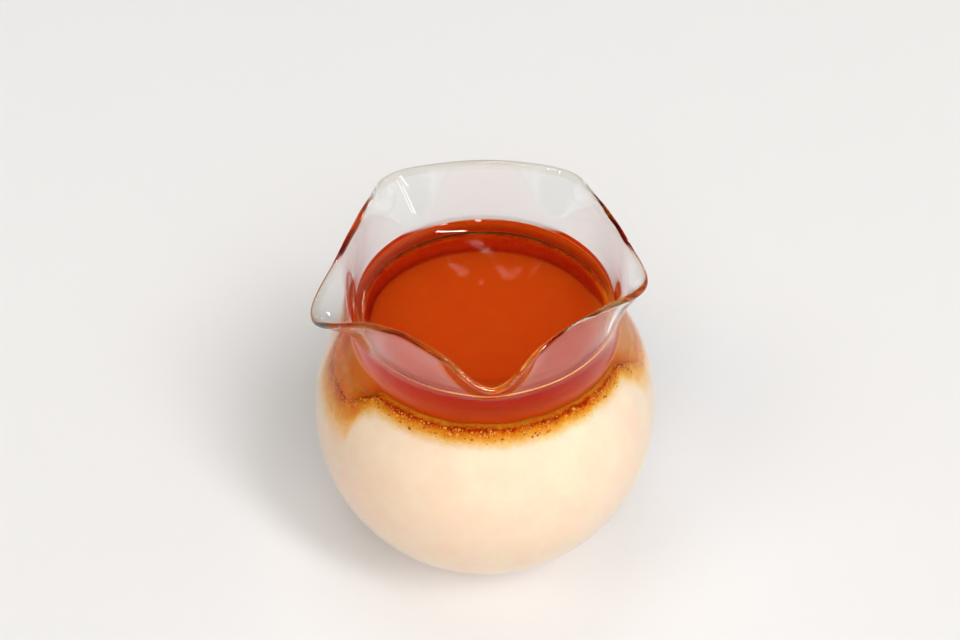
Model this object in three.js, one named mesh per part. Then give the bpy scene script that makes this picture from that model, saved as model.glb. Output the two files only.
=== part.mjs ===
// Caramel pudding in the blown-glass jar that it is served in.
// A round jar with a short neck and a lip drawn out into five corners holds set custard, with a layer of
// clear caramel syrup on top. Each of the three is one solid: a stack of closed rings, one point per azimuth.
// Millimetres, +Z up, with the origin at the middle of the foot that the jar stands on.
import * as THREE from "three";

// ---- the jar ----
const BODY_RADIUS = 33; // outside of the round body
const FOOT_RADIUS = 12; // flat spot under the body
const FOOT_THICKNESS = 2; // glass under the custard
const WALL = 1.5; // glass everywhere else
const NECK_BORE_RADIUS = 23.6;
const SHOULDER_FILLET = 2.2; // between the body and the neck, at mid-wall
const FLARE_START = 56.5; // height at which the neck begins to open
const FLARE_CURVE = 1.9; // power of the flare's curve: 1 would be a straight cone

// The lip's five corners are drawn out by hand, so no two are alike. Each dip lies between its corner and the
// next one round. Reach is from the axis, height from the foot, both at the middle of the glass.
const LIP_CORNERS = [
  { azimuth: -88, reach: 30.2, height: 65.0, dipReach: 24.1, dipHeight: 68.9 },
  { azimuth: -12, reach: 29.1, height: 67.8, dipReach: 25.0, dipHeight: 69.8 },
  { azimuth: 58, reach: 29.9, height: 67.4, dipReach: 24.1, dipHeight: 71.1 },
  { azimuth: 124, reach: 31.3, height: 66.5, dipReach: 24.8, dipHeight: 70.1 },
  { azimuth: 202, reach: 32.7, height: 64.9, dipReach: 25.7, dipHeight: 69.4 },
];
const CORNER_SHARPNESS = 0.125; // how much narrower a corner is than a plain cosine wave
const CORNER_TIP = 0.035; // and how much more its very tip stands out

// ---- the custard ----
const FIT_GAP = 0.3; // clearance between glass and contents, and between the two layers
const CUSTARD_TOP = 49.8; // the level middle of the custard
const PLATEAU = { alongX: 21.8, alongY: 19.4 }; // half-sizes of the oval that stays level
const MOAT_DEPTH = 3; // hollow between that oval and the edge that clings to the glass
// Where the custard has come away from the glass and syrup has run down behind it.
const SEEPS = [
  { azimuth: 198, halfWidth: 25, depth: 4.6 },
  { azimuth: 2, halfWidth: 25, depth: 5.0 },
];
const SEEP_CORE = 0.6; // share of a seep's half-width that has its full depth

// ---- the caramel syrup ----
const SYRUP_LEVEL = 55.4;
const MENISCUS_RISE = 2.2; // climb of the syrup at the glass
const MENISCUS_REACH = 2.4; // distance from the glass at which that climb has fallen to a third

// ---- fineness ----
const STEPS_PER_CORNER = 12;
const CORNER_CROWDING = 0.08; // how far the stations round the lip crowd towards its corners
const BODY_STEPS = 12;
const SHOULDER_STEPS = 3;
const FLARE_STEPS = 6;
const LIP_STEPS = 5;
const CONTENT_STEPS = 60; // azimuths of the custard and the syrup
const CUSTARD_SIDE_STEPS = 10;
const PLATEAU_STEPS = 3;
const MOAT_STEPS = 6;
const SYRUP_SIDE_STEPS = 3;
const SYRUP_RINGS = [0.97, 0.93, 0.86, 0.75, 0.5, 0]; // shares of the bore, closest where the syrup climbs

// ---- worked out from these ----
const BODY_CENTRE = Math.sqrt(BODY_RADIUS ** 2 - FOOT_RADIUS ** 2);
const BODY_MID_RADIUS = BODY_RADIUS - WALL / 2;
const NECK_MID_RADIUS = NECK_BORE_RADIUS + WALL / 2;
const FILLET_AXIS_RADIUS = NECK_MID_RADIUS + SHOULDER_FILLET;
const FILLET_RISE = Math.sqrt((BODY_MID_RADIUS + SHOULDER_FILLET) ** 2 - FILLET_AXIS_RADIUS ** 2);
const FILLET_HEIGHT = BODY_CENTRE + FILLET_RISE; // the neck is straight above this
const SHOULDER_LATITUDE = Math.atan2(FILLET_RISE, FILLET_AXIS_RADIUS); // the body ends here
const OUTSIDE = WALL / 2;
const INSIDE = -WALL / 2;
const CONTENT_SIDE = INSIDE - FIT_GAP;

const radians = THREE.MathUtils.degToRad;
const smoothstep = (x) => THREE.MathUtils.smoothstep(x, 0, 1);

/** Evenly spaced numbers from first to last, both included. */
function spread(first, last, steps) {
  return Array.from({ length: steps + 1 }, (_, k) => first + ((last - first) * k) / steps);
}

// A profile is a list of [radius, height] points in the half-plane of one azimuth.

/** Points up the round body between two latitudes, at an offset from mid-wall. */
function bodyArc(offset, fromLatitude, toLatitude, steps) {
  const radius = BODY_MID_RADIUS + offset;
  return spread(fromLatitude, toLatitude, steps).map((latitude) => [
    radius * Math.cos(latitude),
    BODY_CENTRE + radius * Math.sin(latitude),
  ]);
}

/** Latitude at which the offset body passes a height. */
function bodyLatitude(offset, height) {
  return Math.asin((height - BODY_CENTRE) / (BODY_MID_RADIUS + offset));
}

/** Points up the hollow curve from the body into the neck, after the body's last point. */
function shoulderArc(offset) {
  const radius = SHOULDER_FILLET - offset;
  return spread(SHOULDER_LATITUDE, 0, SHOULDER_STEPS)
    .slice(1)
    .map((angle) => [
      FILLET_AXIS_RADIUS - radius * Math.cos(angle),
      FILLET_HEIGHT - radius * Math.sin(angle),
    ]);
}

/** How far a point of the lip belongs to its corner: 1 at the corners and 0 in the dips. */
function cornerShare(share) {
  const wave = (times) => Math.cos(2 * Math.PI * times * share);
  return (1 + wave(1)) / 2 + CORNER_SHARPNESS * (wave(2) - 1) + CORNER_TIP * (wave(3) - wave(1));
}

/** The lip at mid-glass, as a list of stations round the jar: azimuth, reach and height. */
function lipStations() {
  return LIP_CORNERS.flatMap((corner, index) => {
    const next = LIP_CORNERS[(index + 1) % LIP_CORNERS.length];
    const turn = (next.azimuth - corner.azimuth + 360) % 360;
    return spread(0, 1, STEPS_PER_CORNER)
      .slice(0, -1)
      .map((step) => {
        const share = step - CORNER_CROWDING * Math.sin(2 * Math.PI * step);
        const blend = smoothstep(share);
        const peak = cornerShare(share);
        const cornerReach = THREE.MathUtils.lerp(corner.reach, next.reach, blend);
        const cornerHeight = THREE.MathUtils.lerp(corner.height, next.height, blend);
        return {
          azimuth: radians(corner.azimuth + turn * share),
          reach: THREE.MathUtils.lerp(corner.dipReach, cornerReach, peak),
          height: THREE.MathUtils.lerp(corner.dipHeight, cornerHeight, peak),
        };
      });
  });
}

/** Points up the flare to the lip, offset from mid-glass square to its curve. */
function flareArc(station, offset) {
  const rise = station.height - FLARE_START;
  const spreadOut = station.reach - NECK_MID_RADIUS;
  return spread(0, 1, FLARE_STEPS).map((share) => {
    const slope = (FLARE_CURVE * spreadOut * share ** (FLARE_CURVE - 1)) / rise;
    const length = Math.hypot(1, slope);
    return [
      NECK_MID_RADIUS + spreadOut * share ** FLARE_CURVE + offset / length,
      FLARE_START + rise * share - (offset * slope) / length,
    ];
  });
}

/** The fire-polished edge: a half round from the outside of the glass over to the inside. */
function lipArc(station) {
  const slope = (FLARE_CURVE * (station.reach - NECK_MID_RADIUS)) / (station.height - FLARE_START);
  const outward = new THREE.Vector2(1, -slope).normalize();
  return spread(0, Math.PI, LIP_STEPS)
    .slice(1, -1)
    .map((angle) => {
      const across = OUTSIDE * Math.cos(angle);
      const along = OUTSIDE * Math.sin(angle);
      return [
        station.reach + across * outward.x - along * outward.y,
        station.height + across * outward.y + along * outward.x,
      ];
    });
}

/** A closed mesh from one profile for each azimuth. Every profile starts and ends on the axis. */
function solidOfProfiles(azimuths, profiles) {
  const rings = profiles[0].length - 2;
  const around = azimuths.length;
  const positions = [0, 0, profiles[0][0][1]];
  for (let ring = 1; ring <= rings; ring++) {
    azimuths.forEach((azimuth, k) => {
      const [radius, height] = profiles[k][ring];
      positions.push(radius * Math.cos(azimuth), radius * Math.sin(azimuth), height);
    });
  }
  positions.push(0, 0, profiles[0][rings + 1][1]);
  const last = rings * around + 1;
  const at = (ring, k) => 1 + ring * around + (k % around);
  const faces = [];
  for (let k = 0; k < around; k++) {
    faces.push(0, at(0, k + 1), at(0, k));
    for (let ring = 0; ring < rings - 1; ring++) {
      faces.push(at(ring, k), at(ring, k + 1), at(ring + 1, k + 1));
      faces.push(at(ring, k), at(ring + 1, k + 1), at(ring + 1, k));
    }
    faces.push(last, at(rings - 1, k), at(rings - 1, k + 1));
  }
  const geometry = new THREE.BufferGeometry();
  geometry.setAttribute("position", new THREE.Float32BufferAttribute(positions, 3));
  geometry.setIndex(faces);
  geometry.computeVertexNormals();
  return geometry;
}

function jarGeometry() {
  const stations = lipStations();
  const footLatitude = bodyLatitude(OUTSIDE, 0);
  const floorLatitude = bodyLatitude(INSIDE, FOOT_THICKNESS);
  const profiles = stations.map((station) => {
    const outside = [
      ...bodyArc(OUTSIDE, footLatitude, SHOULDER_LATITUDE, BODY_STEPS),
      ...shoulderArc(OUTSIDE),
      ...flareArc(station, OUTSIDE),
    ];
    const inside = [
      ...bodyArc(INSIDE, floorLatitude, SHOULDER_LATITUDE, BODY_STEPS),
      ...shoulderArc(INSIDE),
      ...flareArc(station, INSIDE),
    ];
    return [[0, 0], ...outside, ...lipArc(station), ...inside.reverse(), [0, FOOT_THICKNESS]];
  });
  return solidOfProfiles(stations.map((station) => station.azimuth), profiles);
}

/** How far the custard's edge has sunk at the glass, from 0 outside the seeps. */
function seepDepth(azimuth) {
  return SEEPS.reduce((depth, seep) => {
    const turn = THREE.MathUtils.euclideanModulo(azimuth - radians(seep.azimuth) + Math.PI, 2 * Math.PI);
    const across = Math.abs(turn - Math.PI) / radians(seep.halfWidth);
    return depth + seep.depth * (1 - THREE.MathUtils.smoothstep(across, SEEP_CORE, 1));
  }, 0);
}

/** Radius of the level part of the custard at an azimuth. */
function plateauRadius(azimuth) {
  return 1 / Math.hypot(Math.cos(azimuth) / PLATEAU.alongX, Math.sin(azimuth) / PLATEAU.alongY);
}

/** Radius of the contents' side at a height on the round body. */
function sideRadius(height) {
  return (BODY_MID_RADIUS + CONTENT_SIDE) * Math.cos(bodyLatitude(CONTENT_SIDE, height));
}

/** The custard's top from the axis out to the glass: level, down into the moat and up to its edge. */
function custardTop(azimuth, lift) {
  const sunk = seepDepth(azimuth);
  const plateau = plateauRadius(azimuth);
  const side = sideRadius(CUSTARD_TOP - sunk + lift);
  const level = spread(0, 1, PLATEAU_STEPS).map((share) => [plateau * share, CUSTARD_TOP + lift]);
  const moat = spread(0, 1, MOAT_STEPS)
    .slice(1)
    .map((share) => [
      plateau + (side - plateau) * share,
      CUSTARD_TOP + lift - MOAT_DEPTH * Math.sin(Math.PI * share) ** 2 - sunk * smoothstep(share),
    ]);
  return [...level, ...moat];
}

function contentAzimuths() {
  return spread(0, 2 * Math.PI, CONTENT_STEPS).slice(0, -1);
}

function custardGeometry() {
  const floor = FOOT_THICKNESS + FIT_GAP;
  const floorLatitude = bodyLatitude(CONTENT_SIDE, floor);
  const azimuths = contentAzimuths();
  const profiles = azimuths.map((azimuth) => {
    const edgeLatitude = bodyLatitude(CONTENT_SIDE, CUSTARD_TOP - seepDepth(azimuth));
    const side = bodyArc(CONTENT_SIDE, floorLatitude, edgeLatitude, CUSTARD_SIDE_STEPS);
    return [[0, floor], ...side, ...custardTop(azimuth, 0).reverse().slice(1)];
  });
  return solidOfProfiles(azimuths, profiles);
}

/** Height of the syrup's surface, which climbs at the glass. */
function syrupHeight(radius) {
  const neck = NECK_BORE_RADIUS - FIT_GAP;
  return SYRUP_LEVEL + MENISCUS_RISE * Math.exp((radius - neck) / MENISCUS_REACH);
}

function caramelGeometry() {
  const azimuths = contentAzimuths();
  const neck = NECK_BORE_RADIUS - FIT_GAP;
  const surface = SYRUP_RINGS.map((share) => [neck * share, syrupHeight(neck * share)]);
  const profiles = azimuths.map((azimuth) => {
    const edgeLatitude = bodyLatitude(CONTENT_SIDE, CUSTARD_TOP - seepDepth(azimuth) + FIT_GAP);
    const side = [
      ...bodyArc(CONTENT_SIDE, edgeLatitude, SHOULDER_LATITUDE, SYRUP_SIDE_STEPS).slice(1),
      ...shoulderArc(CONTENT_SIDE),
      [neck, syrupHeight(neck)],
    ];
    return [...custardTop(azimuth, FIT_GAP), ...side, ...surface];
  });
  return solidOfProfiles(azimuths, profiles);
}

const glass = new THREE.MeshStandardMaterial({
  color: 0xeef2f2,
  roughness: 0.03,
  metalness: 0,
  transparent: true,
  opacity: 0.3,
});
const custardCream = new THREE.MeshStandardMaterial({ color: 0xfbe6c7, roughness: 0.45, metalness: 0 });
const caramelSyrup = new THREE.MeshStandardMaterial({
  color: 0xc2400c,
  roughness: 0.05,
  metalness: 0,
  transparent: true,
  opacity: 0.85,
});

/** A named mesh of one piece. */
function piece(name, geometry, material) {
  const mesh = new THREE.Mesh(geometry, material);
  mesh.name = name;
  return mesh;
}

const pudding = new THREE.Group();
pudding.add(
  piece("jar", jarGeometry(), glass),
  piece("custard", custardGeometry(), custardCream),
  piece("caramel", caramelGeometry(), caramelSyrup),
);

export default pudding;
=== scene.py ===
"""Caramel pudding in a blown-glass jar, as it looks on a pale table.

The jar, the set custard and the syrup over it are turned and drawn out again at full smoothness, in the
places that the frame gives them. The custard and the syrup reach just into the glass, so that no gap shows,
and each boundary between glass, syrup and air bends light once.
"""

import logging
import math
import random
from collections.abc import Callable, Sequence
from dataclasses import dataclass
from enum import Enum
from typing import Any

import bpy
from mathutils import Matrix, Quaternion, Vector, noise


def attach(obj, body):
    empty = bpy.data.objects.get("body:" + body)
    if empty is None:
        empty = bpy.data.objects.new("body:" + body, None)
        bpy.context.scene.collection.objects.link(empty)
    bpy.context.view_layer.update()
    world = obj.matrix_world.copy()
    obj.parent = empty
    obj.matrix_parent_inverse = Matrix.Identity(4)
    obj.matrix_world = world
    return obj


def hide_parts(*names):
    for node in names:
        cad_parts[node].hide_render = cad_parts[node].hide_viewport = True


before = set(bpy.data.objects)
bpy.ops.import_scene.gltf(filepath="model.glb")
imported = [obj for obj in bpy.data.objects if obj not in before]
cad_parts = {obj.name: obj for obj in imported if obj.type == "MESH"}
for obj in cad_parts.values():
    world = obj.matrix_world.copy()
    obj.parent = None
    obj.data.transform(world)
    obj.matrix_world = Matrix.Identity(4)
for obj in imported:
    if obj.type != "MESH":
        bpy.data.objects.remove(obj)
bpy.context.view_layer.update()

LOG = logging.getLogger("pudding")
MM = 0.001
TINY = 0.001 * MM  # for telling whether two heights or radii are the same
HAIR = 0.01 * MM  # the same, less strictly
TURN = 2.0 * math.pi
ORIGIN = (0.0, 0.0, 0.0)

Point = tuple[float, float]
Colour = tuple[float, float, float]


def lerp(first: float, second: float, share: float) -> float:
    """A number that lies a share of the way from first to second."""
    return first + (second - first) * share


def smoothstep(x: float, low: float = 0.0, high: float = 1.0) -> float:
    """Eases from 0 at low to 1 at high, and is level outside them."""
    share = min(max((x - low) / (high - low), 0.0), 1.0)
    return share * share * (3.0 - 2.0 * share)


def spread(first: float, last: float, steps: int) -> list[float]:
    """Evenly spaced numbers from first to last, both included."""
    return [lerp(first, last, k / steps) for k in range(steps + 1)]


def bearing(azimuth: float, elevation: float) -> Vector:
    """The unit vector that points along an azimuth and an elevation, both in degrees."""
    turn, rise = math.radians(azimuth), math.radians(elevation)
    return Vector((math.cos(rise) * math.cos(turn), math.cos(rise) * math.sin(turn), math.sin(rise)))


def polar(azimuth: float, radius: float = 1.0, height: float = 0.0) -> Vector:
    """The point at an azimuth in radians, with its radius from the axis and its height."""
    return Vector((radius * math.cos(azimuth), radius * math.sin(azimuth), height))


# ---------------------------------------------------------------- bench: steps done by hand in edit mode


class Bench:
    """The few hand operations that every piece is made with."""

    MERGE_DISTANCE = 0.0005 * MM

    @staticmethod
    def clear() -> None:
        """Deselects everything, as operators act on all that is selected."""
        bpy.ops.object.select_all(action="DESELECT")

    @staticmethod
    def turned(name: str, profile: Sequence[Point], steps: int) -> bpy.types.Object:
        """Draws a profile by extruding one point along it and spins it round the jar's axis.

        Args:
            name: the new piece's name.
            profile: radius and height of each point, from the axis back to the axis, or round a loop.
            steps: how many steps the spin takes for a whole turn.

        Returns:
            A closed piece with outward normals, its object at the origin.
        """
        Bench.clear()
        bpy.ops.mesh.primitive_plane_add(size=MM, location=ORIGIN)
        piece = bpy.context.object
        piece.name = name
        piece.data.name = name
        bpy.ops.object.mode_set(mode="EDIT")
        bpy.ops.mesh.merge(type="CENTER")
        radius, height = profile[0]
        bpy.ops.transform.translate(value=(radius, 0.0, height))
        for next_radius, next_height in profile[1:]:
            step = (next_radius - radius, 0.0, next_height - height)
            bpy.ops.mesh.extrude_region_move(TRANSFORM_OT_translate={"value": step})
            radius, height = next_radius, next_height
        bpy.ops.mesh.select_all(action="SELECT")
        bpy.ops.mesh.spin(steps=steps, angle=TURN, center=ORIGIN, axis=(0.0, 0.0, 1.0), use_auto_merge=True)
        bpy.ops.mesh.select_all(action="SELECT")
        bpy.ops.mesh.remove_doubles(threshold=Bench.MERGE_DISTANCE)
        bpy.ops.mesh.normals_make_consistent(inside=False)
        bpy.ops.object.mode_set(mode="OBJECT")
        return piece

    @staticmethod
    def push(piece: bpy.types.Object, place: Callable[[float, float, float], Point]) -> None:
        """Moves every vertex within its own half-plane through the axis.

        Args:
            piece: the piece to shape.
            place: gives the new radius and height for an azimuth in radians, a radius and a height.
        """
        for vertex in piece.data.vertices:
            x, y, height = vertex.co
            azimuth = math.atan2(y, x)
            vertex.co = polar(azimuth, *place(azimuth, math.hypot(x, y), height))
        piece.data.update()

    @staticmethod
    def mark(piece: bpy.types.Object, name: str, values: Sequence[float], domain: str = "POINT") -> None:
        """Stores one number for each point, or face, of piece, under the name that its finish reads."""
        piece.data.attributes.new(name, "FLOAT", domain).data.foreach_set("value", values)

    @staticmethod
    def dress(piece: bpy.types.Object, *materials: bpy.types.Material) -> None:
        """Shades all of piece smooth and gives it its materials.

        Args:
            piece: the piece to dress.
            materials: its materials, in the order of its slots.
        """
        Bench.clear()
        piece.select_set(True)
        bpy.context.view_layer.objects.active = piece
        bpy.ops.object.shade_smooth()
        for material in materials:
            piece.data.materials.append(material)


# ---------------------------------------------------------------- form: the curves of the glass


@dataclass(frozen=True)
class LipCorner:
    """One drawn-out corner of the lip, and the dip between it and the next corner.

    The azimuth is in degrees. Reach from the axis and height are at the middle of the glass.
    """

    azimuth: float
    reach: float
    height: float
    dip_reach: float
    dip_height: float


@dataclass(frozen=True)
class BlownForm:
    """The jar's glass as curves: a round body, a hollow shoulder and a neck that opens into corners."""

    body_radius: float = 33.0 * MM
    foot_radius: float = 12.0 * MM
    floor_thickness: float = 2.0 * MM
    wall: float = 1.5 * MM
    neck_bore: float = 23.6 * MM
    shoulder_fillet: float = 2.2 * MM
    flare_start: float = 56.5 * MM
    flare_curve: float = 1.9  # power by which the neck widens, so that it starts without a crease
    lip_share: float = 0.9  # of the wall's thickness that is left at the lip, where the glass was drawn out
    lip_thinning: float = 2.0 * MM  # height over which it thins
    corners: tuple[LipCorner, ...] = (
        LipCorner(-88.0, 30.2 * MM, 65.0 * MM, 24.1 * MM, 68.9 * MM),
        LipCorner(-12.0, 29.1 * MM, 67.8 * MM, 25.0 * MM, 69.8 * MM),
        LipCorner(58.0, 29.9 * MM, 67.4 * MM, 24.1 * MM, 71.1 * MM),
        LipCorner(124.0, 31.3 * MM, 66.5 * MM, 24.8 * MM, 70.1 * MM),
        LipCorner(202.0, 32.7 * MM, 64.9 * MM, 25.7 * MM, 69.4 * MM),
    )
    corner_sharpness: float = 0.125  # height of the second wave, which narrows the corners
    corner_tip: float = 0.035  # height of the third wave, which draws out their tips

    @property
    def centre(self) -> float:
        """Height of the round body's centre."""
        return math.sqrt(self.body_radius**2 - self.foot_radius**2)

    @property
    def body_mid(self) -> float:
        """Radius of the round body at the middle of the glass."""
        return self.body_radius - self.wall / 2

    @property
    def neck_mid(self) -> float:
        """Radius of the straight neck at the middle of the glass."""
        return self.neck_bore + self.wall / 2

    @property
    def fillet_axis(self) -> float:
        """Radius of the ring round which the shoulder turns into the neck."""
        return self.neck_mid + self.shoulder_fillet

    @property
    def fillet_rise(self) -> float:
        """Height of that ring above the body's centre."""
        return math.sqrt((self.body_mid + self.shoulder_fillet) ** 2 - self.fillet_axis**2)

    @property
    def shoulder_latitude(self) -> float:
        """Latitude at which the round body ends and the shoulder begins."""
        return math.atan2(self.fillet_rise, self.fillet_axis)

    def latitude(self, offset: float, height: float) -> float:
        """Latitude at which the body, offset from mid-glass, passes a height."""
        return math.asin((height - self.centre) / (self.body_mid + offset))

    def body_radius_at(self, offset: float, height: float) -> float:
        """Radius from the axis at which the body, offset from mid-glass, passes a height."""
        return (self.body_mid + offset) * math.cos(self.latitude(offset, height))

    def body_point(self, distance: float, latitude: float) -> Point:
        """Radius and height of a point, by its distance from the body's centre and its latitude."""
        return distance * math.cos(latitude), self.centre + distance * math.sin(latitude)

    def body_arc(self, offset: float, first: float, last: float, steps: int) -> list[Point]:
        """Points up the round body, offset from mid-glass, from one latitude to another."""
        return [self.body_point(self.body_mid + offset, latitude) for latitude in spread(first, last, steps)]

    def shoulder_arc(self, offset: float, steps: int) -> list[Point]:
        """Points from just past the body's last one up to the start of the straight neck.

        Args:
            offset: distance outwards from the middle of the glass.
            steps: how many points to give.

        Returns:
            Radius and height of each point.
        """
        radius = self.shoulder_fillet - offset
        height = self.centre + self.fillet_rise
        return [
            (self.fillet_axis - radius * math.cos(angle), height - radius * math.sin(angle))
            for angle in spread(self.shoulder_latitude, 0.0, steps)[1:]
        ]

    def lip(self, azimuth: float) -> Point:
        """Reach and height of the lip at mid-glass.

        Args:
            azimuth: the direction from the axis, in radians.

        Returns:
            Reach from the axis and height.
        """
        degrees = math.degrees(azimuth)
        for index, corner in enumerate(self.corners):
            following = self.corners[(index + 1) % len(self.corners)]
            turn = (following.azimuth - corner.azimuth) % 360.0
            share = ((degrees - corner.azimuth) % 360.0) / turn
            if share <= 1.0:
                break
        peak = self._corner_share(share)
        blend = smoothstep(share)
        reach = lerp(corner.reach, following.reach, blend)
        height = lerp(corner.height, following.height, blend)
        return lerp(corner.dip_reach, reach, peak), lerp(corner.dip_height, height, peak)

    def _corner_share(self, share: float) -> float:
        """How far a point of the lip belongs to a corner: 1 at the corners and 0 in the dips."""
        first, second, third = (math.cos(TURN * times * share) for times in (1, 2, 3))
        return (1.0 + first) / 2 + self.corner_sharpness * (second - 1.0) + self.corner_tip * (third - first)


@dataclass(frozen=True)
class Ripple:
    """Unevenness round the jar: broad waves and a share of finer ones, each by its cells in a radian."""

    broad: float
    fine: float
    fine_share: float

    def at(self, azimuth: float) -> float:
        """The unevenness at an azimuth in radians, round 0."""
        around = polar(azimuth)
        return noise.noise(around * self.broad) + self.fine_share * noise.noise(around * self.fine)


@dataclass(frozen=True)
class Seep:
    """A stretch where the custard has come away from the glass and syrup has run down. Angles in degrees."""

    azimuth: float
    half_width: float
    depth: float
    paleness: float  # how many millimetres further from the edge its stain counts


@dataclass(frozen=True)
class CustardTop:
    """The custard's upper face: a level oval, a hollow ring round it, and an edge that clings to glass."""

    form: BlownForm
    level: float = 49.8 * MM
    plateau_side: float = 21.8 * MM
    plateau_back: float = 19.4 * MM
    plateau_front: float = 14.5 * MM
    plateau_share: float = 0.5  # the part of the mesh's rings that goes to the level oval
    moat_depth: float = 3.0 * MM
    moat_lean: float = 1.5  # 1 puts the ring's bottom midway, and more moves it towards the glass
    seeps: tuple[Seep, ...] = (Seep(198.0, 25.0, 4.6 * MM, 0.25), Seep(2.0, 25.0, 5.0 * MM, 1.3))
    seep_core: float = 0.35  # the part of a seep's half width over which it has its full depth
    cling: float = 0.8 * MM  # how far the edge at the glass stands above the level oval
    cling_start: float = 0.65  # how far across the ring the surface starts to turn towards the edge
    edge_ripple: float = 0.2 * MM
    edge_waves: Ripple = Ripple(7.0, 23.0, 0.6)
    ripple_growth: float = 5.0 * MM  # depth at which the edge's ripple is three times as high
    face_ripple: float = 0.09 * MM
    face_cell: float = 4.0 * MM  # size of the upper face's waves

    def nearest_seep(self, azimuth: float) -> Seep:
        """The seep whose middle lies nearest to an azimuth in radians."""
        return max(self.seeps, key=lambda seep: math.cos(azimuth - math.radians(seep.azimuth)))

    def sunk(self, azimuth: float) -> float:
        """How far the edge has sunk at the glass.

        Args:
            azimuth: the direction from the axis, in radians.

        Returns:
            The depth below the unsunk edge, with its small unevenness.
        """
        depth = 0.0
        for seep in self.seeps:
            turn = (math.degrees(azimuth) - seep.azimuth + 180.0) % 360.0 - 180.0
            across = abs(turn) / seep.half_width
            depth += seep.depth * (1.0 - smoothstep(across, self.seep_core, 1.0))
        growth = 1.0 + 2.0 * depth / self.ripple_growth
        return depth + self.edge_ripple * self.edge_waves.at(azimuth) * growth

    def edge(self, azimuth: float) -> float:
        """Height of the custard's edge at the glass."""
        return self.level + self.cling - self.sunk(azimuth)

    def plateau(self, azimuth: float) -> float:
        """Radius of the level oval."""
        along_y = self.plateau_back if math.sin(azimuth) > 0.0 else self.plateau_front
        return 1.0 / math.hypot(math.cos(azimuth) / self.plateau_side, math.sin(azimuth) / along_y)

    def at(self, azimuth: float, share: float, side: float) -> Point:
        """A point of the upper face.

        Args:
            azimuth: the direction from the axis, in radians.
            share: 0 on the axis and 1 at the side.
            side: radius of the side at the edge's height.

        Returns:
            Radius and height of the point.
        """
        plateau = self.plateau(azimuth)
        if share <= self.plateau_share:
            radius = plateau * share / self.plateau_share
            height = self.level
        else:
            across = (share - self.plateau_share) / (1.0 - self.plateau_share)
            radius = lerp(plateau, side, across)
            hollow = self.moat_depth * math.sin(math.pi * across**self.moat_lean) ** 2
            turned_up = smoothstep(across, self.cling_start, 1.0)
            height = self.level - hollow + (self.edge(azimuth) - self.level) * turned_up
        waves = noise.noise(polar(azimuth, radius) / self.face_cell)
        return radius, height + self.face_ripple * waves * (1.0 - share**4)


# ---------------------------------------------------------------- finishes: node trees from expressions


class Signal:
    """A number that a finish works out at each point, for writing shader maths as Python expressions."""

    def __init__(self, mix: "Mixture", socket: bpy.types.NodeSocket) -> None:
        """Wraps a socket of a mixture's node tree."""
        self.mix = mix
        self.socket = socket

    def _math(self, operation: str, other: Any) -> "Signal":
        """Adds one Math node on this signal and another value."""
        return self.mix.signal("ShaderNodeMath", {"operation": operation}, {0: self, 1: other})

    def __add__(self, other: Any) -> "Signal":
        """self + other."""
        return self._math("ADD", other)

    __radd__ = __add__

    def __mul__(self, other: Any) -> "Signal":
        """self * other."""
        return self._math("MULTIPLY", other)

    __rmul__ = __mul__

    def __sub__(self, other: Any) -> "Signal":
        """self - other."""
        return self._math("SUBTRACT", other)

    def __rsub__(self, other: Any) -> "Signal":
        """other - self."""
        return self._math("MULTIPLY", -1.0) + other

    def __truediv__(self, other: float) -> "Signal":
        """self / other, for a plain number."""
        return self._math("MULTIPLY", 1.0 / other)

    def larger(self, other: Any) -> "Signal":
        """The larger of self and other."""
        return self._math("MAXIMUM", other)

    def eased(self, low: float, high: float) -> "Signal":
        """0 below low, 1 above high, and a smooth step between them."""
        sockets = {"Value": self, "From Min": low, "From Max": high}
        return self.mix.signal("ShaderNodeMapRange", {"interpolation_type": "SMOOTHSTEP"}, sockets)


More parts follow.
